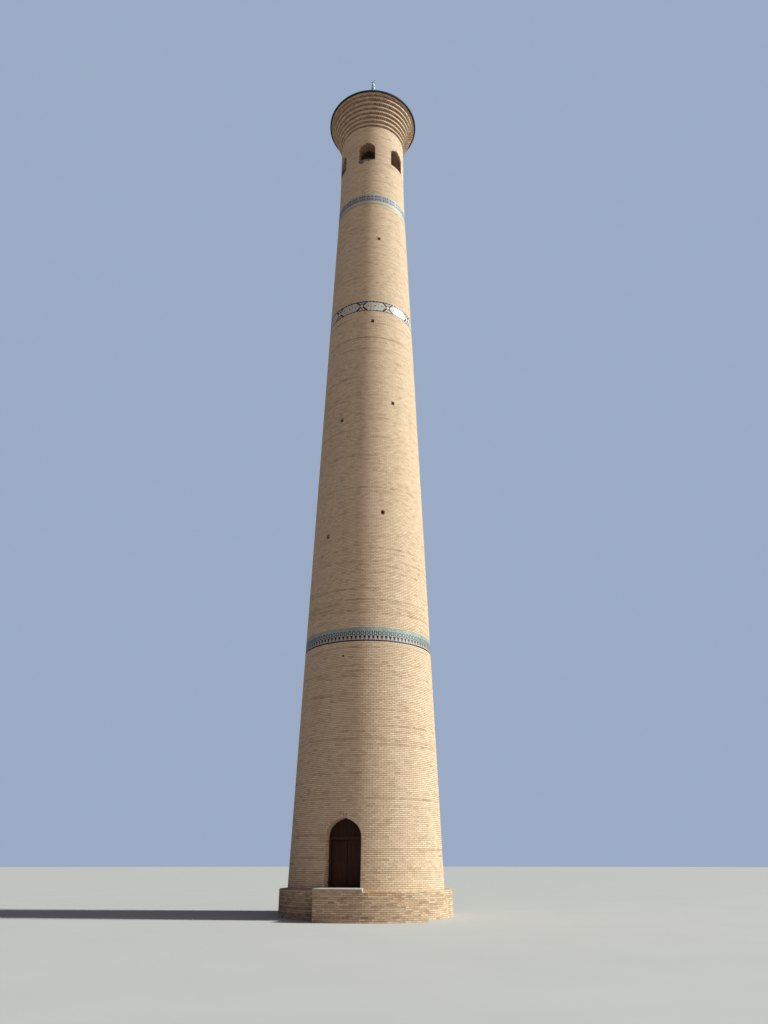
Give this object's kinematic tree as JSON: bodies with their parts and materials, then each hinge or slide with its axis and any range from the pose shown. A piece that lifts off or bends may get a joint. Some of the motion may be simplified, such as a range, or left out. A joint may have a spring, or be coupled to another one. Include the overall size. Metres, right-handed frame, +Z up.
{
  "type": "brick minaret scale model",
  "caption": "Tall round brick tower with tile bands, a curved stair to an arched double door, a lantern room with arched windows, a corbelled cornice and a crescent finial.",
  "frame": {"origin": "centre of the plinth's underside, on the tower's axis, at ground level", "axes": "+Z up along the tower's axis, -Y out through the doorway, +X to the right of someone facing the door"},
  "size_m": [4.1, 4.565, 29.3596],
  "materials": {
    "brick": "matt buff brick laid in pale mortar",
    "pale_stone": "honed pale stone",
    "blue_tile": "glazed turquoise and dark blue tile",
    "pale_tile": "glazed white and green tile with black outlines",
    "brown_wood": "oiled brown wood",
    "lime_plaster": "matt brown lime plaster",
    "dark_sheet": "weathered dark sheet metal",
    "silver_sheet": "dull silvery sheet metal"
  },
  "bodies": {
    "tower": {"plinth": "brick", "door_platform": "brick", "stair_upper_step": "brick", "stair_landing": "brick", "stair_step_1": "brick", "stair_step_2": "brick", "stair_step_3": "brick", "stair_step_4": "brick", "stair_step_5": "brick", "base_wall_left": "brick", "base_wall_right": "brick", "base_wall_back": "brick", "door_arch": "brick", "ground_floor": "brick", "lower_shaft": "brick", "middle_shaft": "brick", "upper_shaft": "brick", "shaft_neck": "brick", "lantern_floor": "brick", "lantern_sill_wall": "brick", "lantern_pier_1": "brick", "lantern_pier_2": "brick", "lantern_pier_3": "brick", "lantern_pier_4": "brick", "lantern_pier_5": "brick", "lantern_pier_6": "brick", "lantern_arch_ring": "brick", "cornice_course_1": "brick", "cornice_course_2": "brick", "cornice_course_3": "brick", "cornice_course_4": "brick", "platform_slab": "pale_stone", "door_sill": "pale_stone", "lower_tile_band": "blue_tile", "upper_tile_band": "blue_tile", "middle_tile_band": "pale_tile", "door_jamb_left": "brown_wood", "door_jamb_right": "brown_wood", "door_lintel": "brown_wood", "arch_fanlight": "brown_wood", "lantern_vault": "lime_plaster", "rim_flashing": "dark_sheet", "roof_cone": "dark_sheet", "finial_mast": "silver_sheet", "finial_ball_lower": "silver_sheet", "finial_ball_upper": "silver_sheet", "finial_crescent": "silver_sheet"},
    "left_leaf": {"door_leaf_left": "brown_wood"},
    "right_leaf": {"door_leaf_right": "brown_wood"}
  },
  "joints": [
    {"name": "left_leaf_hinge", "type": "hinge", "parent": "tower", "child": "left_leaf", "pos_m": [-0.394, -1.45, 0.64], "axis": [0, 0, 1], "range_deg": [0, 90]},
    {"name": "right_leaf_hinge", "type": "hinge", "parent": "tower", "child": "right_leaf", "pos_m": [0.394, -1.45, 0.64], "axis": [0, 0, -1], "range_deg": [0, 90]}
  ]
}
